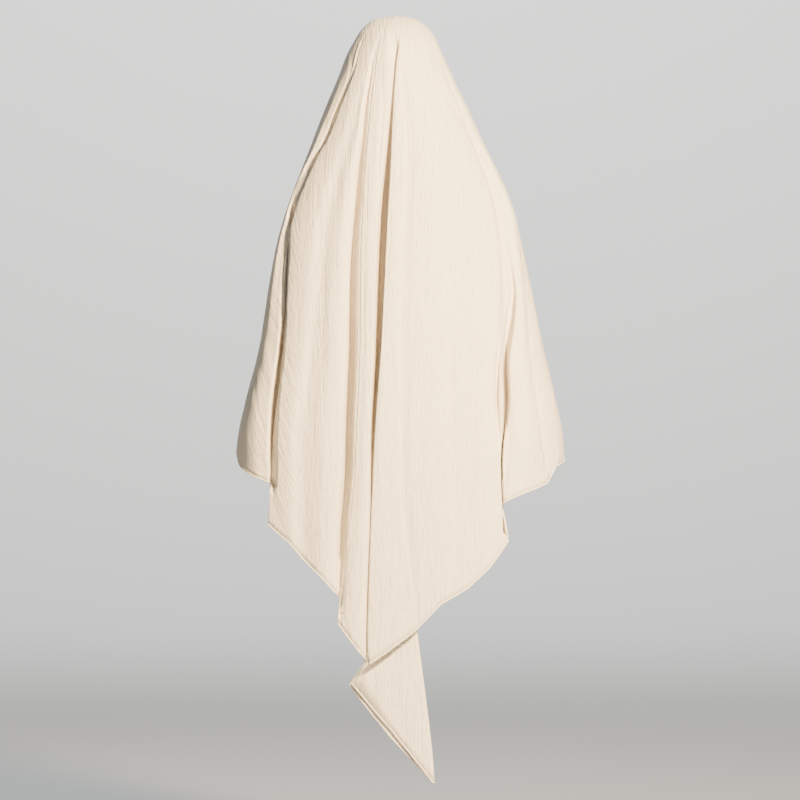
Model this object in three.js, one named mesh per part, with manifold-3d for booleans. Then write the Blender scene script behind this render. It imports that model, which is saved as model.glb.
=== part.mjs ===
// A long khimar veil of crinkled crepe, in the form that it takes on the head of its wearer.
// Millimetres, +Z up, +Y towards the back with the pointed tail, -Y towards the face.
// The origin lies against the inside of the cloth on top of the crown.
import * as THREE from 'three';
import { mergeVertices } from 'three/addons/utils/BufferGeometryUtils.js';
import Module from 'manifold-3d';

// Size of the drape
const BACK_LENGTH = 1386;        // height from the crown to the tip of the tail
const HALF_SPAN = 300;           // half of the width across the elbows
const BACK_REACH = 205;          // from the middle of the head to the back of the drape
const FRONT_REACH = 185;         // from the middle of the head to the front of the drape
const SHOULDER_DROP = 360;       // height from the crown to the level of the shoulder blades
const FRONT_MIDDLE_DROP = 950;   // height from the crown to the front hem, in the middle

// Cloth, folds and hems
const CLOTH_WALL = 1.6;          // thickness of the cloth
const FOLD_DEPTH = 26;           // depth of a full valley below the drape's surface
const LAYER_PITCH = 5;           // distance from one layer of a flat pleat to the next
const FRONT_FOLD_DEPTH = 14;     // depth of the plain folds in front
const FRONT_FOLDS = 4;           // number of plain folds in front
const FRONT_HEM_RISE = 0.35;     // how far round from the sides the front hem stays level
const CLEARANCE = 0.3;           // gap between a hem or seam and the cloth
const HEM_ROLL = 3;              // thickness of the rolled bottom hem
const HEM_CLEARANCE = 0.6;       // gap between the rolled hem and the edge of the cloth

// Face opening and front seam
const FACE_WIDTH = 132;          // widest part of the opening
const FACE_HEIGHT = 178;         // from the forehead to under the chin
const FACE_DROP = 152;           // from the crown to the middle of the opening
const CHIN_NARROWING = 0.2;      // share by which the opening narrows towards the chin
const FACE_HEM_WIDTH = 5;        // width of the hem round the opening
const FACE_HEM_THICKNESS = 2.6;
const SEAM_WIDTH = 12;           // width of the felled seam down the front
const SEAM_THICKNESS = 1.2;

// Fineness of the facets
const LEVELS_ABOVE = 11;         // rings from the crown to the shoulder blades
const LEVELS_BELOW = 14;         // rings from the shoulder blades to the hem
const CROWN_GATHERING = 1.75;    // how much closer the rings lie near the crown
const HEM_GATHERING = 1.3;       // how much closer the rings lie near the hem
const FRONT_COLUMNS = 6;         // columns of the mesh to each plain fold in front
const FACE_STEPS = 56;           // corners of the face opening
const HEM_SIDES = 6;             // sides of the rolled hem's section
const SHARPEST_BEND = 0.6;       // cosine of half the sharpest bend that the rolled hem follows

// Heights, as shares of BACK_LENGTH, at which the FOLDS table gives each line's place
const CROWN_SHARE = 0.02;
const HEAD_SHARE = 0.08;
// The places named mid and low, as shares of the way from the shoulder blades to the hem
const MID_WAY = 0.6;
const LOW_WAY = 0.95;
// Heights, as shares of BACK_LENGTH, from which pleat layers and folds have their full depth
const LAYERS_FULL_SHARE = 0.05;
const FOLDS_FULL_SHARE = 0.3;
// Share of the way to its neighbours that a round turn may take up
const EDGE_SHARE = 0.3;

// Cross-sections from the crown down. drop is a share of BACK_LENGTH, left and right are half
// widths as shares of HALF_SPAN, back and front are shares of BACK_REACH and FRONT_REACH,
// and round is 1 for an ellipse and less for a squarer section.
const SECTIONS = [
  { drop: 0, left: 0, right: 0, back: 0, front: 0, round: 1 },
  { drop: 0.005, left: 0.13, right: 0.11, back: 0.19, front: 0.19, round: 1 },
  { drop: 0.0175, left: 0.21, right: 0.19, back: 0.34, front: 0.34, round: 1 },
  { drop: 0.033, left: 0.26, right: 0.24, back: 0.44, front: 0.44, round: 1 },
  { drop: 0.051, left: 0.305, right: 0.275, back: 0.51, front: 0.49, round: 1 },
  { drop: 0.077, left: 0.35, right: 0.33, back: 0.565, front: 0.52, round: 0.97 },
  { drop: 0.116, left: 0.425, right: 0.415, back: 0.60, front: 0.53, round: 0.93 },
  { drop: 0.17, left: 0.52, right: 0.53, back: 0.62, front: 0.56, round: 0.88 },
  { drop: 0.249, left: 0.66, right: 0.695, back: 0.70, front: 0.68, round: 0.8 },
  { drop: 0.311, left: 0.74, right: 0.765, back: 0.78, front: 0.82, round: 0.76 },
  { drop: 0.441, left: 0.84, right: 0.89, back: 0.90, front: 0.95, round: 0.72 },
  { drop: 0.567, left: 0.97, right: 1.01, back: 0.98, front: 1, round: 0.7 },
  { drop: 1, left: 0.98, right: 1.03, back: 1, front: 1, round: 0.7 },
];

// Lines of the back, from the left side to the right side, as they follow each other along the
// cloth. crown to hem are turns in degrees round the drape, 0 in the middle of the back and
// positive to the wearer's right. drop is the hem's height there as a share of BACK_LENGTH, out
// is the line's height over the drape's surface as a share of FOLD_DEPTH, before and after are
// the layers of cloth that lie over it on its two sides, in units of LAYER_PITCH, and columns is
// the number of mesh columns up to it. Where before and after differ, the cloth turns there.
const FOLDS = [
  { name: 'left side', crown: -90, head: -89, shoulder: -90, mid: -90, low: -90, hem: -90,
    drop: 0.567, out: 0, before: 0, after: 0, columns: 2 },
  { name: 'left lobe outer', crown: -76, head: -74, shoulder: -79, mid: -80, low: -77, hem: -75,
    drop: 0.592, out: 0.05, before: 0, after: 0, columns: 1 },
  { name: 'left lobe crest', crown: -68, head: -64, shoulder: -72.5, mid: -68, low: -60, hem: -60,
    drop: 0.605, out: 0.15, before: 0, after: 0, columns: 2 },
  { name: 'left lobe inner', crown: -62, head: -58, shoulder: -69.5, mid: -57.5, low: -52, hem: -52.5,
    drop: 0.612, out: -0.3, before: 0, after: 0, columns: 2 },
  { name: 'left valley', crown: -57, head: -54.5, shoulder: -67, mid: -54.5, low: -47.5, hem: -45.5,
    drop: 0.619, out: -0.85, before: 0.9, after: -0.9, columns: 2 },
  { name: 'left panel edge', crown: -52, head: -50.5, shoulder: -63, mid: -51.5, low: -51, hem: -51.5,
    drop: 0.667, out: 0.05, before: 0.5, after: 0, columns: 2 },
  { name: 'left panel outer', crown: -43, head: -39.5, shoulder: -44.5, mid: -42, low: -40.5, hem: -40.5,
    drop: 0.69, out: 0.1, before: 0, after: 0, columns: 2 },
  { name: 'left panel dip', crown: -37, head: -32, shoulder: -36.5, mid: -35.5, low: -34.5, hem: -34.5,
    drop: 0.712, out: -0.1, before: 0, after: 0, columns: 2 },
  { name: 'left panel inner', crown: -31, head: -28.5, shoulder: -28.5, mid: -26, low: -26.5, hem: -26.5,
    drop: 0.736, out: 0.1, before: 0, after: 0, columns: 2 },
  { name: 'middle valley', crown: -26, head: -26, shoulder: -21.5, mid: -17.5, low: -19.5, hem: -20,
    drop: 0.762, out: -0.7, before: 0.6, after: -0.6, columns: 2 },
  { name: 'ridge edge', crown: -22, head: -22.5, shoulder: -18.5, mid: -15, low: -20.5, hem: -21,
    drop: 0.794, out: 0, before: 0.5, after: 0, columns: 2 },
  { name: 'ridge crest', crown: -17, head: -14.5, shoulder: -14, mid: -13, low: -15.5, hem: -15.5,
    drop: 0.819, out: 0.25, before: 0, after: 0, columns: 1 },
  { name: 'ridge inner edge', crown: -12, head: -6.5, shoulder: -8.5, mid: -9.8, low: -10.8, hem: -10.5,
    drop: 0.842, out: 0, before: 1.75, after: 1.75, columns: 2 },
  { name: 'rear tail corner', crown: -9, head: -3, shoulder: -6, mid: -8, low: -6.5, hem: -17,
    drop: 0.875, out: 0, before: 2.2, after: 2.2, columns: 2 },
  { name: 'rear tail', crown: -6, head: 1, shoulder: -1, mid: -2, low: -2.5, hem: -2,
    drop: 0.942, out: 0, before: 2, after: 2, columns: 2 },
  { name: 'tail edge', crown: -3, head: 6, shoulder: 5, mid: 4.5, low: 12, hem: 12.7,
    drop: 1, out: 0, before: 2, after: 1, columns: 3 },
  { name: 'front tail', crown: 0, head: 1, shoulder: -1, mid: -2.8, low: -2, hem: -1.5,
    drop: 0.934, out: 0, before: 1, after: 1, columns: 3 },
  { name: 'front tail corner', crown: 3, head: -1, shoulder: -4.8, mid: -7, low: -6, hem: -16,
    drop: 0.873, out: 0, before: 1, after: 1, columns: 2 },
  { name: 'pleat edge', crown: 6, head: -2.5, shoulder: -7, mid: -8.5, low: -10.2, hem: -9.7,
    drop: 0.845, out: 0, before: 1, after: 0, columns: 2 },
  { name: 'right panel start', crown: 9, head: 1, shoulder: -4, mid: -6, low: -4.2, hem: -4,
    drop: 0.832, out: 0.04, before: 0, after: 0, columns: 1 },
  { name: 'step over the pleat', crown: 15, head: 8, shoulder: 5.5, mid: 3, low: 5, hem: 5.5,
    drop: 0.805, out: -0.08, before: 0, after: 0, columns: 2 },
  { name: 'right panel crest', crown: 24, head: 22, shoulder: 16, mid: 13.5, low: 14.5, hem: 14.5,
    drop: 0.769, out: 0.1, before: 0, after: 0, columns: 2 },
  { name: 'right panel dip', crown: 34, head: 32.5, shoulder: 27, mid: 22.5, low: 23, hem: 24,
    drop: 0.749, out: -0.02, before: 0, after: 0, columns: 2 },
  { name: 'right panel outer', crown: 46, head: 45.5, shoulder: 41, mid: 32.5, low: 32, hem: 32,
    drop: 0.723, out: 0.1, before: 0, after: 0, columns: 2 },
  { name: 'right panel edge', crown: 56, head: 57, shoulder: 53.5, mid: 38.5, low: 38.3, hem: 40,
    drop: 0.689, out: 0, before: 0, after: 0, columns: 2 },
  { name: 'right valley', crown: 61, head: 61, shoulder: 56.5, mid: 42, low: 38.3, hem: 38.3,
    drop: 0.64, out: -1, before: -0.6, after: 0.6, columns: 2 },
  { name: 'right lobe inner', crown: 66, head: 64.5, shoulder: 60, mid: 45, low: 40.8, hem: 41.2,
    drop: 0.634, out: -0.05, before: 0, after: 0, columns: 2 },
  { name: 'right lobe crest', crown: 71, head: 68, shoulder: 66, mid: 51.5, low: 47.5, hem: 48,
    drop: 0.625, out: 0.15, before: 0, after: 0, columns: 2 },
  { name: 'right step', crown: 76, head: 74, shoulder: 74, mid: 65, low: 59.5, hem: 60,
    drop: 0.614, out: -0.3, before: 0, after: 0, columns: 2 },
  { name: 'outer fold crest', crown: 81, head: 80, shoulder: 81, mid: 78, low: 70, hem: 69.5,
    drop: 0.592, out: 0.15, before: 0, after: 0, columns: 2 },
  { name: 'right side', crown: 90, head: 90, shoulder: 90, mid: 90, low: 90, hem: 90,
    drop: 0.582, out: 0, before: 0, after: 0, columns: 2 },
];

const DEGREE = Math.PI / 180;
const SIDE_TURN = 90;
const SHOULDER_SHARE = SHOULDER_DROP / BACK_LENGTH;

const wasm = await Module();
wasm.setup();

// A smooth curve through the points (places[i], values[i]), read at one place
function readCurve(places, values, place) {
  const last = places.length - 1;
  const at = Math.min(Math.max(place, places[0]), places[last]);
  let i = 0;
  while (i < last - 1 && at > places[i + 1]) i += 1;
  const slopeOf = (k) => {
    const a = Math.max(k - 1, 0);
    const b = Math.min(k + 1, last);
    return (values[b] - values[a]) / (places[b] - places[a]);
  };
  const span = places[i + 1] - places[i];
  const t = (at - places[i]) / span;
  const rise = values[i + 1] - values[i];
  const first = slopeOf(i) * span;
  const second = slopeOf(i + 1) * span;
  return values[i] + first * t
    + (3 * rise - 2 * first - second) * t * t
    + (first + second - 2 * rise) * t * t * t;
}

function smoothStep(from, to, value) {
  const t = Math.min(Math.max((value - from) / (to - from), 0), 1);
  return t * t * (3 - 2 * t);
}

// One cross-section's sizes in millimetres, at a share of the drop
const sectionDrops = SECTIONS.map((row) => row.drop);
function sectionAt(share) {
  const read = (key) => readCurve(sectionDrops, SECTIONS.map((row) => row[key]), share);
  return {
    left: read('left') * HALF_SPAN,
    right: read('right') * HALF_SPAN,
    back: read('back') * BACK_REACH,
    front: read('front') * FRONT_REACH,
    round: read('round'),
  };
}

// Depth of the plain folds in front, which start under the chin
function frontFoldDepth(turn, share) {
  const way = (turn - SIDE_TURN) / (2 * SIDE_TURN);
  if (way <= 0 || way >= 1) return 0;
  const wave = (1 - Math.cos(2 * Math.PI * FRONT_FOLDS * way)) / 2;
  const chinShare = (FACE_DROP + FACE_HEIGHT / 2) / BACK_LENGTH;
  return FRONT_FOLD_DEPTH * wave * smoothStep(chinShare, FOLDS_FULL_SHARE, share);
}

// A point of the drape, pushed inwards by depth and moved along the cloth by aside
function drapePoint(share, turn, depth, aside) {
  const section = sectionAt(share);
  const side = Math.sin(turn * DEGREE);
  const back = Math.cos(turn * DEGREE);
  const width = side < 0 ? section.left : section.right;
  const reach = back < 0 ? section.front : section.back;
  const inward = new THREE.Vector2(reach * side * Math.abs(side), -width * back);
  if (inward.length() > 0) inward.normalize();
  return new THREE.Vector3(
    -width * side + inward.x * depth - back * aside,
    Math.sign(back) * reach * Math.abs(back) ** section.round + inward.y * depth - side * aside,
    CLOTH_WALL / 2 - share * BACK_LENGTH,
  );
}

// The places p of a line's six turns: 0 at the crown, 1 at the shoulder blades, 2 at the hem
const LINE_PLACES = [
  CROWN_SHARE / SHOULDER_SHARE,
  HEAD_SHARE / SHOULDER_SHARE,
  1,
  1 + MID_WAY,
  1 + LOW_WAY,
  2,
];

function turnAt(line, place) {
  const turns = [line.crown, line.head, line.shoulder, line.mid, line.low, line.hem];
  return readCurve(LINE_PLACES, turns, place);
}

// The share of BACK_LENGTH that a place p lies at, on a column with its own hem drop
function shareAt(place, hemDrop) {
  if (place <= 1) return place * SHOULDER_SHARE;
  return SHOULDER_SHARE + (place - 1) * (hemDrop - SHOULDER_SHARE);
}

// One point of the cloth's middle surface, on a column given by its turn and folds
function clothPoint(place, hemDrop, turn, out, layer, aside) {
  const share = shareAt(place, hemDrop);
  const foldFade = smoothStep(CROWN_SHARE, FOLDS_FULL_SHARE, share);
  const layerFade = smoothStep(CROWN_SHARE, LAYERS_FULL_SHARE, share);
  const depth = layer * LAYER_PITCH * layerFade - out * FOLD_DEPTH * foldFade
    + frontFoldDepth(turn, share);
  return drapePoint(share, turn, depth, aside);
}

// Half of the width of the round turn at a pleat's edge or a valley's bottom
function edgeRadius(line) {
  return Math.abs(line.after - line.before) * LAYER_PITCH / 2;
}

// The mesh columns of the cloth, from the left side round the back and then the front
function clothColumns() {
  const columns = [];
  const places = [];
  for (let i = 0; i <= LEVELS_ABOVE; i += 1) places.push((i / LEVELS_ABOVE) ** CROWN_GATHERING);
  for (let i = LEVELS_BELOW - 1; i >= 0; i -= 1) places.push(2 - (i / LEVELS_BELOW) ** HEM_GATHERING);

  // A column part of the way from one line to the next
  const between = (from, to, way) => {
    const soft = smoothStep(0, 1, way);
    const hemDrop = from.drop + (to.drop - from.drop) * way;
    const out = from.out + (to.out - from.out) * soft;
    const layer = from.after + (to.before - from.after) * soft;
    return places.map((place) => {
      const turn = turnAt(from, place) * (1 - way) + turnAt(to, place) * way;
      return clothPoint(place, hemDrop, turn, out, layer, 0);
    });
  };

  // One of the columns of a line: part is -1 on the side of the line before, 0 in the middle and
  // 1 on the side of the line after. The three together are the round turn at a pleat's edge or
  // a valley's bottom.
  const partOf = (line, neighbour, part) => {
    const layer = (line.before + line.after) / 2 + part * (line.after - line.before) / 2;
    return places.map((place) => {
      const turn = turnAt(line, place);
      const section = sectionAt(shareAt(place, line.drop));
      const gap = (turnAt(neighbour, place) - turn) * DEGREE * Math.min(section.left, section.right);
      const radius = edgeRadius(line);
      const aside = part === 0 ? 0 : Math.min(Math.max(gap * EDGE_SHARE, -radius), radius);
      return clothPoint(place, line.drop, turn, line.out, layer, aside);
    });
  };

  FOLDS.forEach((line, index) => {
    const previous = FOLDS[index - 1];
    for (let k = 1; previous && k < line.columns; k += 1) {
      columns.push(between(previous, line, k / line.columns));
    }
    if (edgeRadius(line) > 0) columns.push(partOf(line, previous, -1));
    columns.push(partOf(line, line, 0));
    if (edgeRadius(line) > 0) columns.push(partOf(line, FOLDS[index + 1], 1));
  });

  // Round the front, from the last line back to the first
  const first = FOLDS[0];
  const last = FOLDS[FOLDS.length - 1];
  const steps = FRONT_FOLDS * FRONT_COLUMNS;
  for (let k = 1; k < steps; k += 1) {
    const way = k / steps;
    const turn = SIDE_TURN + way * 2 * SIDE_TURN;
    const middle = smoothStep(FRONT_HEM_RISE, 1, 1 - Math.abs(2 * way - 1));
    const sideDrop = last.drop + (first.drop - last.drop) * way;
    const hemDrop = sideDrop + (FRONT_MIDDLE_DROP / BACK_LENGTH - sideDrop) * middle;
    columns.push(places.map((place) => clothPoint(place, hemDrop, turn, 0, 0, 0)));
  }
  return columns;
}

// The two triangles of each field of a closed loop of columns, as places [column, row], split
// along the field's shorter diagonal
function fieldTriangles(columns, visit) {
  columns.forEach((column, j) => {
    const next = (j + 1) % columns.length;
    for (let i = 0; i < column.length - 1; i += 1) {
      const falling = column[i].distanceTo(columns[next][i + 1]);
      const rising = column[i + 1].distanceTo(columns[next][i]);
      if (falling < rising) {
        visit([j, i], [j, i + 1], [next, i + 1]);
        visit([j, i], [next, i + 1], [next, i]);
      } else {
        visit([j, i], [j, i + 1], [next, i]);
        visit([j, i + 1], [next, i + 1], [next, i]);
      }
    }
  });
}

// The outward normal at each point of a closed loop of columns
function normalsOf(columns) {
  const normals = columns.map((column) => column.map(() => new THREE.Vector3()));
  fieldTriangles(columns, (...places) => {
    const [first, second, third] = places.map(([j, i]) => columns[j][i]);
    const down = new THREE.Vector3().subVectors(second, first);
    const along = new THREE.Vector3().subVectors(third, first);
    const face = new THREE.Vector3().crossVectors(down, along);
    places.forEach(([j, i]) => normals[j][i].add(face));
  });
  return normals.map((column) => column.map((normal) => normal.normalize()));
}

// A closed wall of even thickness along a loop of columns. The columns meet in one point on top
// where hasPole is true, and otherwise the wall has a top edge as it has a bottom edge.
function wallGeometry(columns, normals, thickness, hasPole) {
  const rows = columns[0].length;
  const count = columns.length;
  const positions = [];
  const pushSide = (sign) => columns.forEach((column, j) => column.forEach((point, i) => {
    const normal = hasPole && i === 0 ? new THREE.Vector3(0, 0, 1) : normals[j][i];
    positions.push(...point.clone().addScaledVector(normal, sign * thickness / 2).toArray());
  }));
  pushSide(1);
  pushSide(-1);
  const outer = ([j, i]) => (hasPole && i === 0 ? 0 : (j % count) * rows + i);
  const inner = (place) => count * rows + outer(place);
  const triangles = [];
  const quad = (a, b, c, d) => triangles.push(a, b, c, a, c, d);
  fieldTriangles(columns, (a, b, c) => {
    if (new Set([a, b, c].map(outer)).size < 3) return;
    triangles.push(outer(a), outer(b), outer(c), inner(a), inner(c), inner(b));
  });
  const end = rows - 1;
  for (let j = 0; j < count; j += 1) {
    quad(outer([j, end]), inner([j, end]), inner([j + 1, end]), outer([j + 1, end]));
    if (!hasPole) quad(outer([j, 0]), outer([j + 1, 0]), inner([j + 1, 0]), inner([j, 0]));
  }
  const geometry = new THREE.BufferGeometry();
  geometry.setAttribute('position', new THREE.Float32BufferAttribute(positions, 3));
  geometry.setIndex(triangles);
  return geometry;
}

// A closed flat strip through lines of points side by side, thickened towards -Y and +Y
function stripGeometry(lines, thickness) {
  const rows = lines[0].length;
  const last = lines.length - 1;
  const positions = [];
  [-1, 1].forEach((sign) => lines.forEach((line) => line.forEach((point) => {
    positions.push(point.x, point.y + sign * thickness / 2, point.z);
  })));
  const fore = (j, i) => j * rows + i;
  const rear = (j, i) => lines.length * rows + fore(j, i);
  const triangles = [];
  const quad = (a, b, c, d) => triangles.push(a, b, c, a, c, d);
  for (let i = 0; i < rows - 1; i += 1) {
    for (let j = 0; j < last; j += 1) {
      quad(fore(j, i), fore(j, i + 1), fore(j + 1, i + 1), fore(j + 1, i));
      quad(rear(j, i), rear(j + 1, i), rear(j + 1, i + 1), rear(j, i + 1));
    }
    quad(fore(0, i), rear(0, i), rear(0, i + 1), fore(0, i + 1));
    quad(fore(last, i), fore(last, i + 1), rear(last, i + 1), rear(last, i));
  }
  for (let j = 0; j < last; j += 1) {
    quad(fore(j, 0), fore(j + 1, 0), rear(j + 1, 0), rear(j, 0));
    quad(fore(j, rows - 1), rear(j, rows - 1), rear(j + 1, rows - 1), fore(j + 1, rows - 1));
  }
  const geometry = new THREE.BufferGeometry();
  geometry.setAttribute('position', new THREE.Float32BufferAttribute(positions, 3));
  geometry.setIndex(triangles);
  return geometry;
}

// A solid as the cutting library holds it, from a mesh whose shared corners are merged
function solidOf(geometry) {
  const bare = geometry.clone();
  bare.deleteAttribute('normal');
  bare.deleteAttribute('uv');
  const merged = mergeVertices(bare, 1e-4);
  return new wasm.Manifold(new wasm.Mesh({
    numProp: 3,
    vertProperties: new Float32Array(merged.getAttribute('position').array),
    triVerts: new Uint32Array(merged.getIndex().array),
  }));
}

function geometryOf(solid) {
  const mesh = solid.getMesh();
  const geometry = new THREE.BufferGeometry();
  geometry.setAttribute('position', new THREE.Float32BufferAttribute(mesh.vertProperties, 3));
  geometry.setIndex(new THREE.Uint32BufferAttribute(mesh.triVerts, 1));
  geometry.computeVertexNormals();
  return geometry;
}

// The egg-shaped outline of the face opening, drawn inset millimetres inside its edge
function faceOutline(inset) {
  const points = [];
  for (let k = 0; k < FACE_STEPS; k += 1) {
    const angle = (k / FACE_STEPS) * 2 * Math.PI;
    const up = Math.sin(angle);
    const halfWidth = (FACE_WIDTH / 2 - inset) * (1 + CHIN_NARROWING * up);
    points.push(new THREE.Vector2(halfWidth * Math.cos(angle), (FACE_HEIGHT / 2 - inset) * up));
  }
  return points;
}

// The tool that cuts the face opening through the front wall alone
function faceCutter() {
  const shape = new THREE.Shape(faceOutline(0));
  const geometry = new THREE.ExtrudeGeometry(shape, { depth: FRONT_REACH, bevelEnabled: false });
  geometry.rotateX(Math.PI / 2);
  geometry.translate(0, 0, -FACE_DROP);
  return solidOf(geometry);
}

// The point of the front's middle surface at a place of the face opening's outline
function facePoint(outlinePoint) {
  const z = outlinePoint.y - FACE_DROP;
  const share = (CLOTH_WALL / 2 - z) / BACK_LENGTH;
  const section = sectionAt(share);
  const width = outlinePoint.x > 0 ? section.left : section.right;
  const side = Math.asin(outlinePoint.x / width) / DEGREE;
  return drapePoint(share, 2 * SIDE_TURN + side, 0, 0);
}

function faceHemGeometry() {
  const outer = faceOutline(CLEARANCE);
  const inner = faceOutline(CLEARANCE + FACE_HEM_WIDTH);
  const columns = outer.map((point, k) => [facePoint(point), facePoint(inner[k])]);
  const backwards = columns.map((column) => column.map(() => new THREE.Vector3(0, 1, 0)));
  return wallGeometry(columns, backwards, FACE_HEM_THICKNESS, false);
}

// The directions of a closed line on both sides of its point j, and the direction between them
function bendAt(line, j) {
  const count = line.length;
  const arriving = new THREE.Vector3().subVectors(line[j], line[(j + count - 1) % count]).normalize();
  const leaving = new THREE.Vector3().subVectors(line[(j + 1) % count], line[j]).normalize();
  const along = new THREE.Vector3().addVectors(arriving, leaving).normalize();
  return { along, squeeze: along.dot(arriving) };
}

// A roll of round section along the cloth's lower edge, just clear of it
function bottomHemGeometry(columns, normals) {
  const count = columns.length;
  const end = columns[0].length - 1;
  const edge = columns.map((column) => column[end]);
  const centres = edge.map((point, j) => {
    const { along, squeeze } = bendAt(edge, j);
    const down = new THREE.Vector3().crossVectors(along, normals[j][end]).normalize();
    const distance = (HEM_CLEARANCE + HEM_ROLL / 2) / Math.max(squeeze, SHARPEST_BEND);
    return point.clone().addScaledVector(down, distance);
  });
  const positions = [];
  centres.forEach((centre, j) => {
    const { along } = bendAt(centres, j);
    const across = normals[j][end].clone();
    across.addScaledVector(along, -across.dot(along)).normalize();
    const below = new THREE.Vector3().crossVectors(along, across);
    for (let k = 0; k < HEM_SIDES; k += 1) {
      const angle = (k / HEM_SIDES) * 2 * Math.PI;
      const corner = centre.clone()
        .addScaledVector(across, Math.cos(angle) * HEM_ROLL / 2)
        .addScaledVector(below, Math.sin(angle) * HEM_ROLL / 2);
      positions.push(...corner.toArray());
    }
  });
  const triangles = [];
  for (let j = 0; j < count; j += 1) {
    for (let k = 0; k < HEM_SIDES; k += 1) {
      const here = j * HEM_SIDES;
      const next = ((j + 1) % count) * HEM_SIDES;
      const up = (k + 1) % HEM_SIDES;
      triangles.push(here + k, next + up, next + k, here + k, here + up, next + up);
    }
  }
  const geometry = new THREE.BufferGeometry();
  geometry.setAttribute('position', new THREE.Float32BufferAttribute(positions, 3));
  geometry.setIndex(triangles);
  return geometry;
}

// The felled seam inside the front, from below the face opening down to the cloth's edge
function frontSeamGeometry(columns, normals) {
  const middle = columns.length - FRONT_FOLDS * FRONT_COLUMNS / 2;
  const topDrop = FACE_DROP + FACE_HEIGHT / 2 + SEAM_WIDTH;
  const depth = CLOTH_WALL / 2 + CLEARANCE + SEAM_THICKNESS / 2;
  const lines = [-1, 0, 1].map((side) => {
    const line = columns[middle].map((point, i) => {
      const neighbour = columns[middle + (side || 1)][i];
      const share = side === 0 ? 0 : SEAM_WIDTH / 2 / point.distanceTo(neighbour);
      const normal = normals[middle][i].clone().lerp(normals[middle + (side || 1)][i], share);
      return point.clone().lerp(neighbour, share).addScaledVector(normal.normalize(), -depth);
    });
    const below = line.findIndex((point) => -point.z > topDrop);
    const above = line[below - 1];
    const way = (above.z + topDrop) / (above.z - line[below].z);
    return [above.clone().lerp(line[below], way), ...line.slice(below)];
  });
  return stripGeometry(lines, SEAM_THICKNESS);
}

const columns = clothColumns();
const normals = normalsOf(columns);
const veil = new THREE.Group();

function addPiece(name, geometry, colour, roughness) {
  const material = new THREE.MeshStandardMaterial({ color: colour, roughness, metalness: 0 });
  const mesh = new THREE.Mesh(geometry, material);
  mesh.name = name;
  veil.add(mesh);
}

const wholeCloth = solidOf(wallGeometry(columns, normals, CLOTH_WALL, true));
addPiece('veil_cloth', geometryOf(wholeCloth.subtract(faceCutter())), 0xefe3d8, 0.9);
addPiece('bottom_hem', bottomHemGeometry(columns, normals), 0xf3e9df, 0.88);
addPiece('face_hem', faceHemGeometry(), 0xf3e9df, 0.88);
addPiece('front_seam', frontSeamGeometry(columns, normals), 0xe9dccf, 0.92);

export default veil;
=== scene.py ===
import math

import bmesh
import bpy
from mathutils import Matrix, Vector, noise


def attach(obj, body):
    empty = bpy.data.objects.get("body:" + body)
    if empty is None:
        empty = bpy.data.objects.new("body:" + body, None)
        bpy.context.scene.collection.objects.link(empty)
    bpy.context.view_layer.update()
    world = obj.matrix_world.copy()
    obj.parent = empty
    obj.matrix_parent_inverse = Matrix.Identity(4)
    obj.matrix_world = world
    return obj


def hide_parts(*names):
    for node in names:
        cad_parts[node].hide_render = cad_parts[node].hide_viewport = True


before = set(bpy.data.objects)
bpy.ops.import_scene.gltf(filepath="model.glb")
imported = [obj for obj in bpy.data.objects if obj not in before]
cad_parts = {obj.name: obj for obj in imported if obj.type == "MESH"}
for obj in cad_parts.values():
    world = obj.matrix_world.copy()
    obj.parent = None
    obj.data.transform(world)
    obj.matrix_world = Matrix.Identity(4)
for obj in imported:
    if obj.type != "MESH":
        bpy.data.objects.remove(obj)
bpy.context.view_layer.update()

# Metres. +Z is up, +Y the back with the pointed tail, -Y the face.

# Camera, level with the middle of the photograph
PIXEL = 0.0018                      # size of one pixel of the photograph at the veil
PHOTO_SIDE = 800                    # pixels
HEAD_MIDDLE_PIXEL = 397             # across, where x is 0
CROWN_PIXEL = 10.5                  # down, where z is 0
CAMERA_DISTANCE = 9.0               # from the plane that is shown at PIXEL
SHARP_PLANE = 0.13                  # that plane's y
SENSOR = 0.036

camera_data = bpy.data.cameras.new("camera")
camera_data.sensor_width = SENSOR * 1000
camera_data.lens = SENSOR * 1000 * CAMERA_DISTANCE / (PIXEL * PHOTO_SIDE)
camera_data.clip_end = 100
camera = bpy.data.objects.new("camera", camera_data)
bpy.context.scene.collection.objects.link(camera)
camera.location = (
    (HEAD_MIDDLE_PIXEL - PHOTO_SIDE / 2) * PIXEL,
    SHARP_PLANE + CAMERA_DISTANCE,
    (CROWN_PIXEL - PHOTO_SIDE / 2) * PIXEL,
)
camera.rotation_euler = (math.pi / 2, 0, math.pi)
bpy.context.scene.camera = camera

# The drape
BACK_LENGTH = 1.386
HALF_SPAN = 0.300
BACK_REACH = 0.205
FRONT_REACH = 0.185
SHOULDER_DROP = 0.360
FRONT_MIDDLE_DROP = 0.950
CAD_WALL = 0.0016
CLOTH = 0.0007                      # thickness of the crepe
FOLD_DEPTH = 0.026
LAYER_PITCH = 0.005
FRONT_FOLD_DEPTH = 0.014
FRONT_FOLDS = 4
FRONT_HEM_RISE = 0.35

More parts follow.
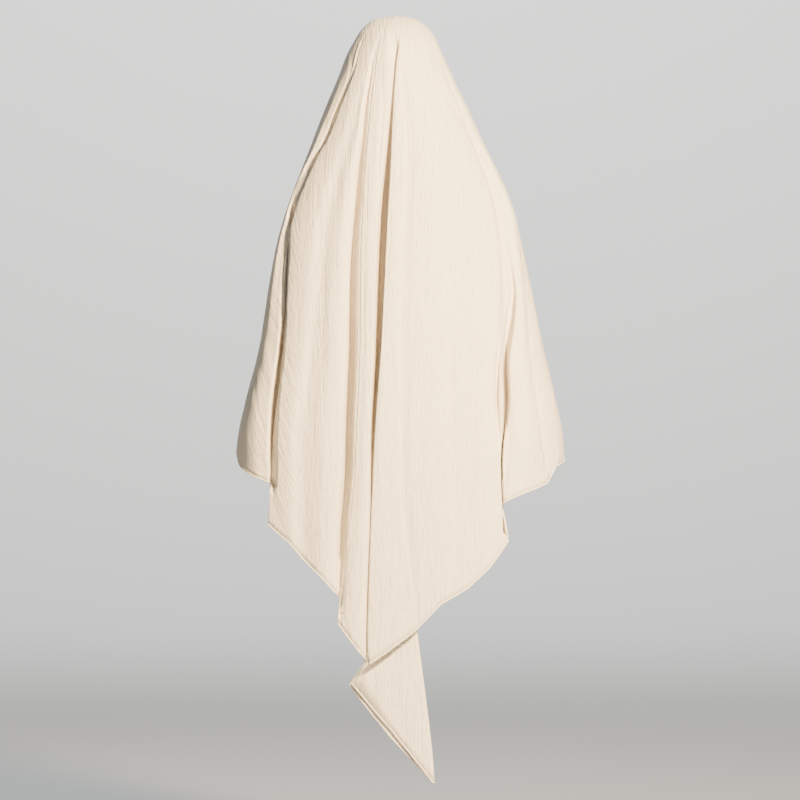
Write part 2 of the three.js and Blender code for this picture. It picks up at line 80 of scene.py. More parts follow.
# Face opening and front seam
FACE_WIDTH = 0.132
FACE_HEIGHT = 0.178
FACE_DROP = 0.152
CHIN_NARROWING = 0.2
FACE_BAND = 0.0065                  # width of the folded hem round the face
FACE_BAND_THICK = 0.0019
FACE_BAND_GRIP = 0.0012             # how far that hem reaches over the edge of the opening
FACE_STITCH_INSET = 0.0026          # from the band's outer edge to its stitches
HEM_ROLL = 0.0028
HEM_STITCH_RISE = 0.0021            # from the cloth's edge up to the hem's stitches
SEAM_WIDTH = 0.011
SEAM_THICK = 0.0014
SEAM_DITCH = 0.0009                 # how deep the seam pulls in the cloth
SEAM_BOTTOM = -0.945
SEAM_STITCH_REACH = 0.0042          # from the seam's middle to each row of its stitches
STITCH_LENGTH = 0.0026
STITCH_PITCH = 0.0036
STITCH_THICK = 0.0007
STITCH_BATCH = 30                   # stitches made at a time, which is quicker than all at once

SHOULDER_SHARE = SHOULDER_DROP / BACK_LENGTH
CROWN_SHARE = 0.02
HEAD_SHARE = 0.08
MID_WAY = 0.6
LOW_WAY = 0.95
LAYERS_FULL_SHARE = 0.05
FOLDS_FULL_SHARE = 0.3
PLEAT_DEPTH = 0.045                 # how much deeper the pleat's hidden layers lie behind the slit
PLEAT_OPENS = (0.07, 0.27)          # shares of the drop over which that depth grows
PLEAT_CLOSES = (0.47, 0.66)         # and over which it fades
TAIL_DEPTH = 0.022                  # and the tail behind the panels' hems
TAIL_PARTS = (0.72, 0.84)           # shares over which the tail parts from the panels

CREASE_FLOOR = 0.55                 # flat part of a crease's left side
CREASE_FADE = 0.02                  # share of the drop over which a crease begins and ends
EDGE_REACH = 0.3                    # most of the way from a round edge to its neighbour line

# Wrinkles and crinkles
BROAD_WRINKLE = 0.0009              # heights
SOFT_WRINKLE = 0.0009
FINE_WRINKLE = 0.0006
CALM_PLACES = 0.2                   # places below the crown over which the wrinkles grow
CALM_COLUMNS = 5                    # and columns beside the front seam
SLANT = math.radians(27)            # of the crinkles on the lobes
SLANT_STARTS = (0.13, 0.24)         # metres from the middle of the back over which the slant grows
SLANT_ENDS = (0.36, 0.5)            # and over which it fades towards the front
SLANT_DROPS = (0.3, 0.5)            # metres down the cloth over which it grows

# Fineness of the cloth's mesh
ROWS_ABOVE = 40
ROWS_BELOW = 55
FRONT_COLUMNS = 72
BACK_STEP = 0.0064                  # width of a column at the shoulder blades and below
FINE_STEP = 0.0021                  # and beside a crease
FINE_REACH = 0.022
EDGE_COLUMNS = 3                    # columns of half a pleat's round edge

# Cross-sections from the crown down: drop as a share of BACK_LENGTH, left and right as shares
# of HALF_SPAN, back and front as shares of BACK_REACH and FRONT_REACH, and round, which is 1
# for an ellipse and less for a squarer section
SECTIONS = [
    (0, 0, 0, 0, 0, 1),
    (0.005, 0.13, 0.11, 0.19, 0.19, 1),
    (0.0175, 0.21, 0.19, 0.34, 0.34, 1),
    (0.033, 0.26, 0.24, 0.44, 0.44, 1),
    (0.051, 0.305, 0.275, 0.51, 0.49, 1),
    (0.077, 0.35, 0.33, 0.565, 0.52, 0.97),
    (0.116, 0.425, 0.415, 0.60, 0.53, 0.93),
    (0.17, 0.52, 0.53, 0.62, 0.56, 0.88),
    (0.249, 0.66, 0.695, 0.70, 0.68, 0.8),
    (0.311, 0.74, 0.765, 0.78, 0.82, 0.76),
    (0.441, 0.84, 0.89, 0.90, 0.95, 0.72),
    (0.567, 0.97, 1.01, 0.98, 1, 0.7),
    (1, 0.98, 1.03, 1, 1, 0.7),
]

# Lines of the back from the left side to the right side: their turns in degrees at the crown,
# the head, the shoulder blades, mid, low and the hem, the hem's drop there as a share of
# BACK_LENGTH, out as a share of FOLD_DEPTH, the layers over the line before it and after it,
# and how much of PLEAT_DEPTH and of TAIL_DEPTH it lies deeper
FOLDS = [
    ("left side", (-90, -89, -90, -90, -90, -90), 0.567, 0, 0, 0, 0, 0),
    ("left lobe outer", (-76, -74, -79, -80, -77, -75), 0.592, 0.05, 0, 0, 0, 0),
    ("left lobe crest", (-68, -64, -74, -68, -60, -60), 0.605, 0.15, 0, 0, 0, 0),
    ("left lobe inner", (-62, -58, -72, -57.5, -52.5, -52.5), 0.612, -0.1, 0, 0, 0, 0),
    ("left valley", (-57, -52, -70, -53.2, -48.3, -47.5), 0.619, -0.35, 0.3, -0.3, 0, 0),
    ("left panel edge", (-52, -47, -65, -51.5, -51, -51.5), 0.667, 0.05, 0.5, 0, 0, 0),
    ("left panel outer", (-43, -39.5, -44.5, -42, -40.5, -40.5), 0.69, 0.1, 0, 0, 0, 0),
    ("left panel dip", (-37, -32, -36.5, -35.5, -34.5, -34.5), 0.712, -0.1, 0, 0, 0, 0),
    ("left panel inner", (-31, -28.5, -28.5, -26, -26.5, -26.5), 0.736, 0.1, 0, 0, 0, 0),
    ("middle valley", (-26, -25.6, -19.6, -16.6, -19.4, -20), 0.762, -0.2, 0, 0, 0, 0),
    ("ridge edge", (-22, -22, -17.5, -14.6, -20.5, -21), 0.794, 0, 0.5, 0, 0, 0),
    ("ridge crest", (-17, -14.5, -13, -12, -15.5, -15.5), 0.819, 0.15, 0, 0, 0, 0),
    ("ridge inner edge", (-12, -3.4, -7.1, -8.8, -10.6, -10.5), 0.842, 0, 1.75, 1.75, 1, 0),
    ("rear tail corner", (-9, -1, -4.5, -7, -6.5, -17), 0.875, 0, 2.2, 2.2, 1, 1),
    ("rear tail", (-6, 2, -1, -2, -2.5, -2), 0.942, 0, 2, 2, 1, 1),
    ("tail edge", (-3, 7, 5, 4.5, 12, 12.7), 1, 0, 2, 1, 1, 1),
    ("front tail", (0, 3, -1, -2.8, -2, -1.5), 0.934, 0, 1, 1, 1, 1),
    ("front tail corner", (3, 1, -3.5, -6.5, -6, -16), 0.873, 0, 1, 1, 1, 1),
    ("pleat edge", (6, -1.3, -4.5, -8.4, -10.2, -9.7), 0.845, 0, 1, 0, 0, 0),
    ("right panel start", (9, 2.5, -2, -6, -4.2, -4), 0.832, 0.04, 0, 0, 0, 0),
    ("step over the pleat", (15, 8, 5.5, 3, 5, 5.5), 0.805, -0.02, 0, 0, 0, 0),
    ("right panel crest", (24, 22, 16, 13.5, 14.5, 14.5), 0.769, 0.1, 0, 0, 0, 0),
    ("right panel dip", (34, 32.5, 27, 22.5, 23, 24), 0.749, -0.02, 0, 0, 0, 0),
    ("right panel outer", (46, 45.5, 41, 32.5, 32, 32), 0.723, 0.1, 0, 0, 0, 0),
    ("right panel edge", (56, 57, 53.5, 38.5, 38.3, 40), 0.689, 0, 0, 0, 0, 0),
    ("right valley", (61, 61, 60.5, 45, 38.6, 38.3), 0.64, -0.35, -0.3, 0.3, 0, 0),
    ("right lobe inner", (66, 64.5, 64.5, 49.5, 41.6, 41.2), 0.634, 0, 0, 0, 0, 0),
    ("right lobe crest", (71, 68, 70, 54, 47.5, 48), 0.625, 0.3, 0, 0, 0, 0),
    ("right step", (76, 74, 79, 61.5, 61, 61), 0.614, 0.1, 0, 0, 0, 0),
    ("outer fold crest", (81, 80, 84.5, 77, 72, 70), 0.592, 0.05, 0, 0, 0, 0),
    ("right side", (90, 90, 90, 90, 90, 90), 0.582, 0, 0, 0, 0, 0),
]
LINE_PLACES = (
    CROWN_SHARE / SHOULDER_SHARE, HEAD_SHARE / SHOULDER_SHARE, 1, 1 + MID_WAY, 1 + LOW_WAY, 2,
)

# Creases of the top layer: at some drops their turn, how far they reach before and after it,
# and how deep they are, in metres; a raised one has a negative depth. A crease's left side has
# a flat floor and its right side a straight slope, and it is pressed straight in, towards -Y.
CREASES = {
    "middle valley": (
        (0.038, -24.5, 0.006, 0.003, 0.002), (0.09, -25.4, 0.009, 0.003, 0.007),
        (0.164, -22, 0.013, 0.003, 0.016), (0.246, -19.4, 0.017, 0.003, 0.025),
        (0.35, -18.7, 0.018, 0.003, 0.034), (0.48, -16.8, 0.019, 0.003, 0.038),
        (0.584, -16, 0.020, 0.003, 0.036), (0.695, -18.4, 0.017, 0.003, 0.024),
        (0.76, -19.5, 0.012, 0.003, 0.012),
    ),
    "left shoulder crease and left valley": (
        (0.06, -50, 0.008, 0.004, 0.002), (0.101, -51, 0.011, 0.005, 0.007),
        (0.134, -54.3, 0.012, 0.006, 0.010), (0.172, -58, 0.012, 0.006, 0.010),
        (0.194, -67, 0.010, 0.005, 0.008), (0.227, -73, 0.009, 0.004, 0.006),
        (0.258, -70.8, 0.009, 0.003, 0.011), (0.302, -63, 0.012, 0.003, 0.018),
        (0.35, -58.8, 0.015, 0.003, 0.026), (0.415, -55.3, 0.018, 0.003, 0.030),
        (0.48, -52.3, 0.020, 0.003, 0.031), (0.545, -48.8, 0.021, 0.003, 0.030),
        (0.6, -47.7, 0.020, 0.003, 0.024),
    ),
    "beside the slit": (
        (0.1, -10.2, 0.003, 0.0025, 0), (0.129, -10.4, 0.003, 0.0025, 0.003),
        (0.172, -11, 0.0035, 0.0025, 0.004), (0.22, -9.9, 0.0035, 0.0025, 0.005),
        (0.272, -9.1, 0.0035, 0.002, 0.005), (0.345, -8.8, 0.003, 0.002, 0.003),
        (0.4, -9, 0.003, 0.002, 0),
    ),
    "step over the pleat": (
        (0.06, 4.7, 0.007, 0.012, 0.001), (0.14, 7.4, 0.007, 0.013, 0.0022),
        (0.259, 4.8, 0.008, 0.014, 0.0026), (0.35, 3, 0.008, 0.014, 0.0026),
        (0.506, 2.1, 0.008, 0.014, 0.0026), (0.649, 2.7, 0.007, 0.013, 0.0022),
        (0.728, 5.3, 0.006, 0.010, 0.0018), (0.792, 7, 0.005, 0.008, 0.001),
    ),
    "soft dip of the right panel": (
        (0.4, 21, 0.012, 0.012, 0), (0.48, 20.7, 0.012, 0.012, 0.002),
        (0.558, 19.5, 0.012, 0.012, 0.0024), (0.623, 19.9, 0.012, 0.012, 0.002),
        (0.7, 21, 0.012, 0.012, 0),
    ),
    "bright fold at the right panel's hem": (
        (0.69, 11, 0.007, 0.004, 0), (0.716, 9, 0.007, 0.004, -0.002),
        (0.745, 6.3, 0.007, 0.004, -0.0032), (0.772, 3.3, 0.007, 0.004, -0.0034),
        (0.794, 1.3, 0.007, 0.004, -0.003), (0.83, -0.6, 0.006, 0.004, -0.002),
    ),
    "small ridge of the right panel": (
        (0.57, 24, 0.006, 0.005, 0), (0.588, 23.3, 0.006, 0.005, -0.0018),
        (0.607, 21.8, 0.006, 0.005, -0.0022), (0.627, 20.3, 0.006, 0.005, -0.0016),
        (0.65, 19, 0.006, 0.005, 0),
    ),
    "right shoulder crease": (
        (0.05, 31, 0.005, 0.006, 0.001), (0.068, 34, 0.006, 0.007, 0.003),
        (0.088, 38.9, 0.007, 0.009, 0.004), (0.107, 46.7, 0.008, 0.010, 0.005),
        (0.134, 54.9, 0.008, 0.011, 0.005), (0.155, 58.7, 0.008, 0.011, 0.005),
        (0.182, 66.3, 0.007, 0.010, 0.003), (0.215, 72, 0.006, 0.008, 0),
    ),
    "inner line of the right valley": (
        (0.28, 56, 0.005, 0.003, 0), (0.311, 55, 0.006, 0.003, 0.005),
        (0.35, 52.7, 0.007, 0.003, 0.008), (0.415, 47, 0.008, 0.003, 0.009),
        (0.467, 41.5, 0.008, 0.003, 0.012), (0.506, 38.8, 0.007, 0.003, 0.015),
        (0.545, 37.6, 0.005, 0.003, 0.008), (0.58, 37, 0.004, 0.003, 0),
    ),
    "right valley": (
        (0.29, 62, 0.004, 0.003, 0), (0.357, 60, 0.009, 0.003, 0.012),
        (0.383, 57.5, 0.012, 0.003, 0.020), (0.415, 53.3, 0.013, 0.003, 0.028),
        (0.441, 49.5, 0.013, 0.003, 0.034), (0.467, 47.3, 0.013, 0.003, 0.038),
        (0.506, 44.7, 0.012, 0.003, 0.040), (0.545, 41.3, 0.009, 0.003, 0.042),
        (0.571, 39, 0.006, 0.003, 0.042), (0.61, 38.4, 0.005, 0.003, 0.036),
        (0.66, 38.7, 0.004, 0.003, 0.028),
    ),
    "right step": (
        (0.29, 79, 0.003, 0.020, 0.002), (0.35, 70.7, 0.003, 0.034, 0.009),
        (0.38, 67.4, 0.003, 0.042, 0.012), (0.43, 63.9, 0.003, 0.050, 0.014),
        (0.48, 60.6, 0.003, 0.055, 0.015), (0.56, 58.7, 0.003, 0.055, 0.014),
        (0.61, 63.6, 0.003, 0.045, 0.011),
    ),
}


def smooth_step(start, end, value):
    t = min(max((value - start) / (end - start), 0), 1)
    return t * t * (3 - 2 * t)


def read_curve(places, values, place):
    """A smooth curve through the points (places[i], values[i]), read at one place."""
    last = len(places) - 1
    at = min(max(place, places[0]), places[last])
    i = 0
    while i < last - 1 and at > places[i + 1]:
        i += 1

    def slope(k):
        a, b = max(k - 1, 0), min(k + 1, last)
        return (values[b] - values[a]) / (places[b] - places[a])

    span = places[i + 1] - places[i]
    t = (at - places[i]) / span
    rise = values[i + 1] - values[i]
    first, second = slope(i) * span, slope(i + 1) * span
    return (values[i] + first * t + (3 * rise - 2 * first - second) * t * t
            + (first + second - 2 * rise) * t * t * t)


section_columns = list(zip(*SECTIONS))
section_memory = {}


def section_at(share):
    """The half widths, reaches and roundness of the cross-section at a share of the drop."""
    key = round(share, 6)
    if key not in section_memory:
        left, right, back, front, rounding = (
            read_curve(section_columns[0], values, share) for values in section_columns[1:]
        )
        section_memory[key] = (
            left * HALF_SPAN, right * HALF_SPAN, back * BACK_REACH, front * FRONT_REACH, rounding,
        )
    return section_memory[key]


def front_fold_depth(turn, share):
    way = (turn - 90) / 180
    if way <= 0 or way >= 1:
        return 0
    wave = (1 - math.cos(2 * math.pi * FRONT_FOLDS * way)) / 2
    chin = (FACE_DROP + FACE_HEIGHT / 2) / BACK_LENGTH
    return FRONT_FOLD_DEPTH * wave * smooth_step(chin, FOLDS_FULL_SHARE, share)


def drape_point(share, turn, depth, aside):
    """A point of the drape, pushed inwards by depth and moved along the cloth by aside."""
    left, right, back_reach, front_reach, rounding = section_at(share)
    side, back = math.sin(math.radians(turn)), math.cos(math.radians(turn))
    width = left if side < 0 else right
    reach = front_reach if back < 0 else back_reach
    inward = Vector((reach * side * abs(side), -width * back))
    if inward.length > 0:
        inward.normalize()
    return Vector((
        -width * side + inward.x * depth - back * aside,
        math.copysign(reach * abs(back) ** rounding, back) + inward.y * depth - side * aside,
        CAD_WALL / 2 - share * BACK_LENGTH,
    ))


def share_at(place, hem_drop):
    """The share of BACK_LENGTH at a place: 0 the crown, 1 the shoulder blades, 2 the hem."""
    if place <= 1:
        return place * SHOULDER_SHARE
    return SHOULDER_SHARE + (place - 1) * (hem_drop - SHOULDER_SHARE)


def turn_at(line, place):
    return read_curve(LINE_PLACES, line[1], place)


def edge_radius(line):
    return abs(line[5] - line[4]) * LAYER_PITCH / 2


def mix(first, second, way):
    return first + (second - first) * way


# Lengths along the cloth, read from a table of drops and turns
TABLE_DROPS = 150
TABLE_TURNS = 120                   # from -180 to 180 degrees


def length_tables():
    turns = [-180 + 360 * k / TABLE_TURNS for k in range(TABLE_TURNS + 1)]
    across, down, above = [], [], None
    middle = TABLE_TURNS // 2
    for i in range(TABLE_DROPS + 1):
        row = [drape_point(i / TABLE_DROPS, turn, 0, 0) for turn in turns]
        way = [0.0] * len(row)
        for k in range(middle + 1, len(row)):
            way[k] = way[k - 1] + (row[k] - row[k - 1]).length
        for k in range(middle - 1, -1, -1):
            way[k] = way[k + 1] - (row[k] - row[k + 1]).length
        across.append(way)
        fallen = [0.0] * len(row) if above is None else [
            down[-1][k] + (point - above[k]).length for k, point in enumerate(row)
        ]
        down.append(fallen)
        above = row
    return across, down


ways_across, ways_down = length_tables()


def read_table(table, share, turn):
    row = min(max(share, 0), 1) * TABLE_DROPS
    i = min(int(row), TABLE_DROPS - 1)
    place = (min(max(turn, -180), 180) + 180) / 360 * TABLE_TURNS
    k = min(int(place), TABLE_TURNS - 1)
    s, t = row - i, place - k
    return mix(mix(table[i][k], table[i][k + 1], t), mix(table[i + 1][k], table[i + 1][k + 1], t), s)


def crease_rows(rows):
    """A crease at every drop of the tables: its way across, its reach before, after and depth."""
    keys = list(zip(*rows))
    laid = []
    for i in range(TABLE_DROPS + 1):
        share = i / TABLE_DROPS
        if share < rows[0][0] or share > rows[-1][0] + CREASE_FADE:
            laid.append(None)
            continue
        turn, before, after, depth = (read_curve(keys[0], values, share) for values in keys[1:])
        depth *= smooth_step(rows[0][0], rows[0][0] + CREASE_FADE, share)
        laid.append((read_table(ways_across, share, turn), before, after, depth))
    return laid


creases = {name: crease_rows(rows) for name, rows in CREASES.items()}


def crease_depth(share, turn):
    """How deep the creases press the top layer in at a place."""
    row = share * TABLE_DROPS
    i = min(int(row), TABLE_DROPS - 1)
    way = read_table(ways_across, share, turn)
    depth = 0.0
    for laid in creases.values():
        above, below = laid[i], laid[i + 1]
        if above is None or below is None:
            continue
        off = way - mix(above[0], below[0], row - i)
        side = 2 if off > 0 else 1
        far = abs(off) / mix(above[side], below[side], row - i)
        if far < 1:
            shape = 1 - far if side == 2 else 1 - smooth_step(CREASE_FLOOR, 1, far)
            depth += mix(above[3], below[3], row - i) * shape
    return depth


edge_memory = {}


def edge_aside(index, side, place, share):
    """How far along the cloth one end of a line's round edge lies, towards its neighbour."""
    line = FOLDS[index]
    radius = edge_radius(line)
    if not radius:
        return 0.0
    key = (index, side, round(place, 5))
    if key not in edge_memory:
        edge_memory[key] = math.radians(turn_at(FOLDS[index + side], place) - turn_at(line, place))
    wanted = edge_memory[key] * min(section_at(share)[:2]) * EDGE_REACH
    return min(max(wanted, -radius), radius)


class Column:
    """One column of the cloth's grid: the same mix of two lines at every place."""

    def __init__(self, start, end, way, soft, layer=None, bends=()):
        self.start, self.end, self.way = start, end, way
        self.hem_drop = mix(start[2], end[2], way)
        self.out = mix(start[3], end[3], soft)
        self.layer = mix(start[5], end[4], soft) if layer is None else layer
        self.pleat, self.tail = mix(start[6], end[6], soft), mix(start[7], end[7], soft)
        self.bends = bends              # (line's number, side of it, how much of its edge)
        self.tight = 0.35 if len(bends) == 1 else 1.0
        self.top = self.layer < 0.9 and self.tail == 0

    def share(self, place):
        return share_at(place, self.hem_drop)

    def turn(self, place):
        return mix(turn_at(self.start, place), turn_at(self.end, place), self.way)

    def point(self, place):
        share, turn = self.share(place), self.turn(place)
        fold_fade = smooth_step(CROWN_SHARE, FOLDS_FULL_SHARE, share)
        layer_fade = smooth_step(CROWN_SHARE, LAYERS_FULL_SHARE, share)
        depth = self.layer * LAYER_PITCH * layer_fade - self.out * FOLD_DEPTH * fold_fade
        depth += front_fold_depth(turn, share)
        pleat_open = smooth_step(*PLEAT_OPENS, share) * (1 - smooth_step(*PLEAT_CLOSES, share))
        depth += self.pleat * PLEAT_DEPTH * pleat_open
        depth += self.tail * TAIL_DEPTH * smooth_step(*TAIL_PARTS, share)
        aside = sum(part * edge_aside(index, side, place, share)
                    for index, side, part in self.bends)
        point = drape_point(share, turn, depth, aside * layer_fade)
        if self.top:
            point.y -= crease_depth(share, turn)
        return point


# Where the cloth begins to fall away, as a share of the way to a line
FALL_STARTS = {"ridge inner edge": 0.55}


def fine_ways(width, fine_start, fine_end):
    """Ways from one line to the next, closer together at an end that lies in a crease."""
    stops, at = [], 0.0
    while at < width:
        near = fine_start and at < FINE_REACH or fine_end and width - at < FINE_REACH
        at += FINE_STEP if near else BACK_STEP
        stops.append(at)
    count = len(stops)
    stretch = width / stops[-1]
    ways = [stop * stretch / width for stop in stops[:-1]]
    return ways if count > 3 else [0.25, 0.5, 0.75]


FINE_LINES = {
    "left valley", "middle valley", "ridge inner edge", "pleat edge", "right valley",
    "right step", "step over the pleat", "right panel edge", "right lobe inner",
}


def back_columns():
    columns = []
    for index, line in enumerate(FOLDS):
        if index:
            previous = FOLDS[index - 1]
            width = math.radians(max(
                abs(turn_at(line, place) - turn_at(previous, place)) for place in (0.6, 1, 1.6, 2)
            )) * HALF_SPAN
            for way in fine_ways(width, previous[0] in FINE_LINES, line[0] in FINE_LINES):
                soft = smooth_step(FALL_STARTS.get(line[0], 0), 1, way)
                columns.append(Column(previous, line, way, soft, None, (
                    (index - 1, 1, 1 - way), (index, -1, way),
                )))
        if not edge_radius(line):
            columns.append(Column(line, line, 0, 0, line[5]))
            continue
        for k in range(-EDGE_COLUMNS, EDGE_COLUMNS + 1):
            angle = k / EDGE_COLUMNS * math.pi / 2
            layer = (line[4] + line[5]) / 2 + (line[5] - line[4]) / 2 * math.sin(angle)
            columns.append(Column(line, line, 0, 0, layer, (
                (index, -1 if k < 0 else 1, 1 - math.cos(angle)),
            )))
    return columns


def front_line(turn, drop):
    return ("front", (turn,) * 6, drop, 0, 0, 0, 0, 0)


def front_column(way, whole_turn):
    """A column of the front, where way is 0 at the right side and 1 at the left side."""
    first, last = FOLDS[0], FOLDS[-1]
    middle = smooth_step(FRONT_HEM_RISE, 1, 1 - abs(2 * way - 1))
    side_drop = mix(last[2], first[2], way)
    drop = mix(side_drop, FRONT_MIDDLE_DROP / BACK_LENGTH, middle)
    line = front_line(90 + 180 * way - whole_turn, drop)
    return Column(line, line, 0, 0)


half_front = FRONT_COLUMNS // 2
seam_steps = [0, 0.0012, 0.003, 0.007]
half_ways = seam_steps + [0.5 * k / half_front for k in range(1, half_front)]
left_front = [front_column(0.5 + way, 360) for way in half_ways]
right_front = [front_column(0.5 - way, 0) for way in reversed(half_ways)]
columns = left_front + back_columns() + right_front

places = [(i / ROWS_ABOVE) ** 1.5 for i in range(ROWS_ABOVE + 1)]
places += [1 + i / ROWS_BELOW for i in range(1, ROWS_BELOW + 1)]


def grain_place(share, turn):
    """Metres across and down the cloth from the middle of the back and the crown."""
    across, down = read_table(ways_across, share, turn), read_table(ways_down, share, turn)
    flat = drape_point(share, turn, 0, 0).x
    return mix(-flat, across, smooth_step(0.01, 0.07, share)), down


def slant_place(across, down):
    """The same place on axes turned by SLANT, alike on both sides."""
    off = abs(across)
    return (off * math.cos(SLANT) + down * math.sin(SLANT),
            down * math.cos(SLANT) - off * math.sin(SLANT))


def slant_share(across, down):
    """How much of the slanted crinkles a place has: 0 on the panels and the front, 1 on the lobes."""
    off = abs(across)
    beside = smooth_step(*SLANT_STARTS, off) * (1 - smooth_step(*SLANT_ENDS, off))
    return beside * smooth_step(*SLANT_DROPS, down)


def grid_mesh(across, along, place_at):
    """A grid of across x along corners, each moved to place_at(j, i). Returns its bmesh."""
    bm = bmesh.new()
    bmesh.ops.create_grid(bm, x_segments=across - 1, y_segments=along - 1, size=0.5)
    bm.verts.ensure_lookup_table()
    for vert in bm.verts:
        j = round((vert.co.x + 0.5) * (across - 1))
        i = round((0.5 - vert.co.y) * (along - 1))
        vert.co = place_at(j, i)
    for face in bm.faces:
        face.smooth = True
    return bm


def finish_piece(bm, name, material):
    """The piece of a bmesh, which rides on the root."""
    mesh = bpy.data.meshes.new(name)
    bm.to_mesh(mesh)
    bm.free()
    mesh.materials.append(material)
    piece = bpy.data.objects.new(name, mesh)
    bpy.context.scene.collection.objects.link(piece)
    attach(piece, "root")
    return piece


def mesh_uv(bm, name, place_of):
    """Give every corner the place that place_of(vert) says."""
    layer = bm.loops.layers.uv.new(name)
    for face in bm.faces:
        for loop in face.loops:
            loop[layer].uv = place_of(loop.vert)


# Shader maths


class Sum:
    """A socket on which numbers and other sockets can be added, taken away or multiplied."""

    def __init__(self, tree, socket):
        self.tree, self.socket = tree, socket

    def join(self, operation, first, second):
        node = self.tree.nodes.new("ShaderNodeMath")
        node.operation = operation
        for k, value in enumerate((first, second)):
            if isinstance(value, Sum):
                self.tree.links.new(value.socket, node.inputs[k])
            else:
                node.inputs[k].default_value = value
        return Sum(self.tree, node.outputs[0])

    def __add__(self, other):
        return self.join("ADD", self, other)

    def __sub__(self, other):
        return self.join("SUBTRACT", self, other)

    def __rsub__(self, other):
        return self.join("SUBTRACT", other, self)

    def __mul__(self, other):
        return self.join("MULTIPLY", self, other)


class Finish:
    """A material's nodes."""

    def __init__(self, name):
        self.material = bpy.data.materials.new(name)
        self.material.use_nodes = True
        self.tree = self.material.node_tree
        self.shader = self.tree.nodes["Principled BSDF"]

    def node(self, kind, settings=None, **inputs):
        made = self.tree.nodes.new(kind)
        for key, value in (settings or {}).items():
            setattr(made, key, value)
        for key, value in inputs.items():
            self.feed(made, key.replace("_", " "), value)
        return made

    def feed(self, node, socket_key, value):
        """Link or set an input, which is found by its name or its number."""
        socket = node.inputs[socket_key]
        if isinstance(value, Sum):
            self.tree.links.new(value.socket, socket)
        elif isinstance(value, bpy.types.NodeSocket):
            self.tree.links.new(value, socket)
        else:
            socket.default_value = value

    def number(self, socket):
        return Sum(self.tree, socket)

    def colour_mix(self, factor, first, second):
        blend = self.node("ShaderNodeMix", {"data_type": "RGBA"})
        for index, value in ((0, factor), (6, first), (7, second)):
            self.feed(blend, index, value)
        return blend.outputs[2]


class Crinkle:
    """The crepe's crinkles as heights: along the grain, and slanted on the lobes."""

    def __init__(self, finish):
        self.finish = finish
        self.straight = finish.node("ShaderNodeUVMap", {"uv_map": "grain"}).outputs[0]
        self.slanted = finish.node("ShaderNodeUVMap", {"uv_map": "slant"}).outputs[0]
        self.share = finish.number(
            finish.node("ShaderNodeAttribute", {"attribute_name": "slanted"}).outputs["Fac"])

    def noise(self, place, across, along, detail, distortion):
        stretched = self.finish.node("ShaderNodeMapping", Scale=(across, along, 1))
        self.finish.feed(stretched, "Vector", place)
        made = self.finish.node("ShaderNodeTexNoise", {"noise_dimensions": "2D"},
                                Scale=1.0, Detail=detail, Roughness=0.6, Distortion=distortion)
        self.finish.feed(made, "Vector", stretched.outputs[0])
        return self.finish.number(made.outputs[0])

    def height(self, across, along, detail, distortion):
        straight = self.noise(self.straight, across, along, detail, distortion)
        slanted = self.noise(self.slanted, across, along, detail, distortion)
        return straight + (slanted - straight) * self.share


def crepe_finish(name, light, dark, crinkle, weave):
    """Matt crinkled crepe, whose crinkles and threads follow the UV maps in metres, and whose colour
    is painted darker in the crinkles' hollows as shade.
    """
    finish = Finish(name)
    pattern = Crinkle(finish)
    folds = pattern.height(85, 9, 2.0, 0.8)
    creases = pattern.height(230, 34, 3.0, 1.2)
    threads = pattern.noise(pattern.straight, 1500, 400, 1.0, 0.0)
    height = folds * 0.8 + creases * 0.75 + threads * weave
    bump = finish.node("ShaderNodeBump", Strength=1.0, Distance=crinkle)
    finish.feed(bump, "Height", height)
    finish.feed(finish.shader, "Normal", bump.outputs[0])
    # Painted shade: the colour follows the crinkles' heights, darker in their hollows and lighter on
    # their tops.
    tone_and_hollow_shade = folds * 0.35 + creases * 0.5 + threads * 0.15
    finish.feed(finish.shader, "Base Color", finish.colour_mix(tone_and_hollow_shade, dark, light))
    finish.feed(finish.shader, "Roughness", 0.95 - creases * 0.1)
    finish.shader.inputs["Specular IOR Level"].default_value = 0.2
    finish.shader.inputs["Sheen Weight"].default_value = 0.1
    finish.shader.inputs["Sheen Roughness"].default_value = 0.6
    return finish.material


# The crepe runs from CREPE_LIGHT on the crinkles' tops to CREPE_DARK in their hollows, which is
# painted shade.
CREPE_LIGHT = (0.81, 0.73, 0.63, 1)
CREPE_DARK = (0.77, 0.685, 0.58, 1)
# HEM_LIGHT, paler than the crepe, is a painted highlight along the rolled hem and the face band; the
# thread takes it as its own pale colour.
HEM_LIGHT = (0.86, 0.79, 0.70, 1)
crepe = crepe_finish("crinkled_crepe", CREPE_LIGHT, CREPE_DARK, 0.0026, 0.05)
# The hems' crepe is a paler copy of the cloth's crepe, a painted highlight on the hems.
hem_crepe = crepe_finish("rolled_hem", HEM_LIGHT, CREPE_LIGHT, 0.0008, 0.1)
seam_crepe = crepe_finish("seam_cloth", CREPE_LIGHT, CREPE_DARK, 0.0008, 0.08)


def thread_finish(name, light, dark):
    """Twisted sewing thread, a little shinier than the cloth."""
    finish = Finish(name)
    twist = finish.node("ShaderNodeTexNoise", Scale=2600.0, Detail=1.0)
    finish.feed(twist, "Vector", finish.node("ShaderNodeTexCoord").outputs["Object"])
    fibres = finish.number(twist.outputs[0])
    finish.feed(finish.shader, "Base Color", finish.colour_mix(fibres, dark, light))
    finish.feed(finish.shader, "Roughness", 0.75 - fibres * 0.2)
    bump = finish.node("ShaderNodeBump", Strength=0.4, Distance=0.0002)
    finish.feed(bump, "Height", fibres)
    finish.feed(finish.shader, "Normal", bump.outputs[0])
    return finish.material


thread = thread_finish("cream_thread", HEM_LIGHT, CREPE_DARK)


# The cloth


